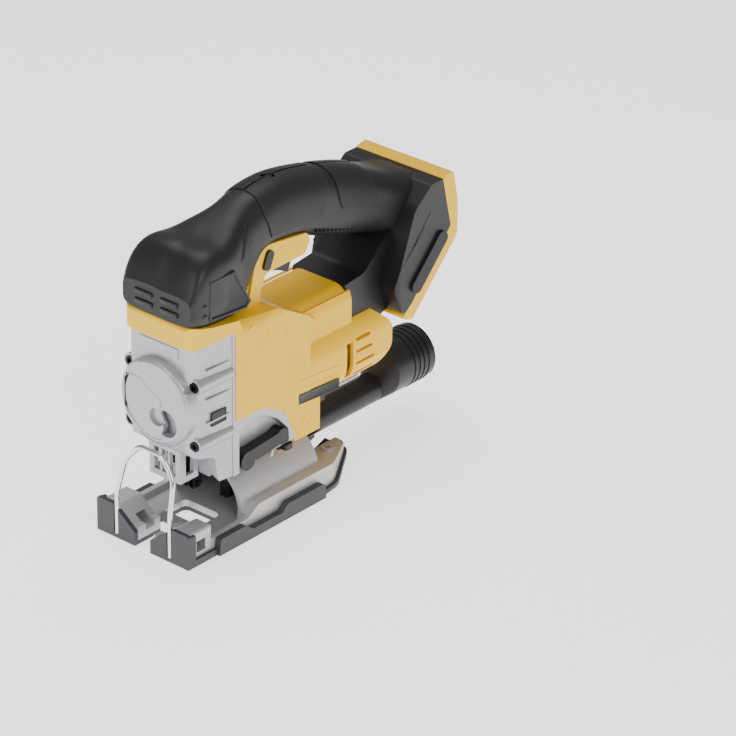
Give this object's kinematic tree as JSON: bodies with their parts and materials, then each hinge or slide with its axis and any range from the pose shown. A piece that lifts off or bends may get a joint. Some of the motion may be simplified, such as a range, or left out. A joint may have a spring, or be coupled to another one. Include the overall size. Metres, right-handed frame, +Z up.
{
  "type": "cordless jigsaw",
  "caption": "Cordless top-handle jigsaw with tilting shoe, wire finger guard, closed handle, battery foot and a dust outlet pipe behind the shoe.",
  "frame": {"origin": "under the middle of the tool's bounding box, on the plane of the sole", "axes": "+X the cutting direction, towards the blade end; +Y the tool's left; +Z up from the sole"},
  "size_m": [0.2586, 0.0824, 0.215],
  "materials": {
    "yellow_shell": "fine-textured glass-filled nylon",
    "black_shell": "satin black nylon with soft grip",
    "black_part": "moulded",
    "rubber_pad": "soft",
    "cast_silver": "silver-painted casting",
    "cast_shoe": "cast, lightly blasted",
    "grey_cover": "grey moulded",
    "chrome_wire": "bright",
    "steel": "machined",
    "black_steel": "black oxide",
    "bronze": "sintered",
    "brass": "stamped",
    "steel_stack": "laminated",
    "copper": "turned",
    "green_board": "coated",
    "clear_insert": "grey"
  },
  "bodies": {
    "shoe": {"shoe_plate": "cast_shoe", "sole_cover": "grey_cover", "wire_guard": "chrome_wire", "splinter_insert": "clear_insert"},
    "housing": {"gear_case": "cast_silver", "gear_cover": "cast_silver", "left_housing": "yellow_shell", "right_housing": "yellow_shell", "left_grip": "black_shell", "right_grip": "black_shell", "battery_receiver": "yellow_shell", "terminal_block": "black_part", "terminal_blades": "brass", "foot_pads": "rubber_pad", "switch_module": "black_part", "control_board": "green_board", "field_can": "steel", "rear_bearing": "steel", "front_bearing": "steel", "wheel_shaft": "steel", "plunger_bushes": "bronze", "guide_rods": "steel", "roller_pin": "steel", "blade_guard": "cast_silver", "bevel_pin": "steel", "release_pin": "steel", "head_screws": "black_steel", "housing_screws": "black_steel", "key_clip": "black_part", "name_plate": "cast_silver"},
    "dust_outlet": {"dust_pipe": "black_part"},
    "trigger": {"trigger": "black_part"},
    "lock_button": {"lock_button": "black_part"},
    "armature": {"armature_shaft": "steel", "armature_core": "steel_stack", "commutator": "copper", "cooling_fan": "black_part"},
    "crank": {"crank_wheel": "steel"},
    "plunger": {"plunger_rod": "steel", "blade_clamp": "steel", "clamp_ring": "black_part"},
    "counterweight": {"counterweight": "steel"},
    "roller_arm": {"roller_arm": "black_steel"},
    "roller": {"blade_roller": "black_steel"},
    "orbit_lever": {"orbit_lever": "black_part"},
    "blower_slide": {"blower_slide": "black_part"},
    "bevel_lever": {"bevel_lever": "black_part"},
    "release_lever": {"release_lever": "cast_silver"},
    "hex_key": {"hex_key": "chrome_wire"}
  },
  "joints": [
    {"name": "bevel_tilt", "type": "hinge", "parent": "shoe", "child": "housing", "pos_m": [0.035, 0, 0.012], "axis": [1, 0, 0], "range_deg": [-45, 45]},
    {"name": "dust_outlet_slide", "type": "slide", "parent": "shoe", "child": "dust_outlet", "axis": [1, 0, 0], "range_m": [-0.07, 0]},
    {"name": "trigger_pull", "type": "slide", "parent": "housing", "child": "trigger", "axis": [0, 0, 1], "range_m": [0, 0.006], "stiffness_N_per_m": 600, "springref_m": -0.003},
    {"name": "lock_press", "type": "slide", "parent": "housing", "child": "lock_button", "axis": [0, 1, 0], "range_m": [-0.003, 0.003], "stiffness_N_per_m": 400},
    {"name": "crank_spin", "type": "hinge", "parent": "housing", "child": "crank", "pos_m": [0.083, 0, 0.112], "axis": [1, 0, 0], "continuous": true},
    {"name": "motor_spin", "type": "hinge", "parent": "housing", "child": "armature", "pos_m": [0, 0, 0.084], "axis": [1, 0, 0], "continuous": true},
    {"name": "blade_stroke", "type": "slide", "parent": "housing", "child": "plunger", "axis": [0, 0, 1], "range_m": [-0.026, 0]},
    {"name": "weight_stroke", "type": "slide", "parent": "housing", "child": "counterweight", "axis": [0, 0, 1], "range_m": [0, 0.026]},
    {"name": "roller_swing", "type": "hinge", "parent": "housing", "child": "roller_arm", "pos_m": [0.083, 0, 0.055], "axis": [0, 1, 0], "range_deg": [-3, 0]},
    {"name": "roller_spin", "type": "hinge", "parent": "roller_arm", "child": "roller", "pos_m": [0.0852, 0, 0.032], "axis": [0, 1, 0], "continuous": true},
    {"name": "orbit_select", "type": "hinge", "parent": "housing", "child": "orbit_lever", "pos_m": [0.0345, 0.02, 0.053], "axis": [0, 1, 0], "range_deg": [-30, 0]},
    {"name": "blower_switch", "type": "slide", "parent": "housing", "child": "blower_slide", "axis": [1, 0, 0], "range_m": [0, 0.007]},
    {"name": "bevel_unlock", "type": "hinge", "parent": "housing", "child": "bevel_lever", "pos_m": [0.0345, -0.02905, 0.051], "axis": [0, 0, 1], "range_deg": [-90, 0]},
    {"name": "blade_release", "type": "hinge", "parent": "housing", "child": "release_lever", "pos_m": [0.1141, -0.0215, 0.098], "axis": [0, 0, 1], "range_deg": [-60, 0], "stiffness_Nm_per_rad": 0.02, "springref_deg": 11.46},
    {"name": "key_slide", "type": "slide", "parent": "housing", "child": "hex_key", "axis": [1, 0, 0], "range_m": [-0.028, 0]}
  ],
  "couplings": [
    {"joint": "motor_spin", "follows": "crank_spin", "ratio": -6},
    {"joint": "weight_stroke", "follows": "blade_stroke", "ratio": -1}
  ]
}
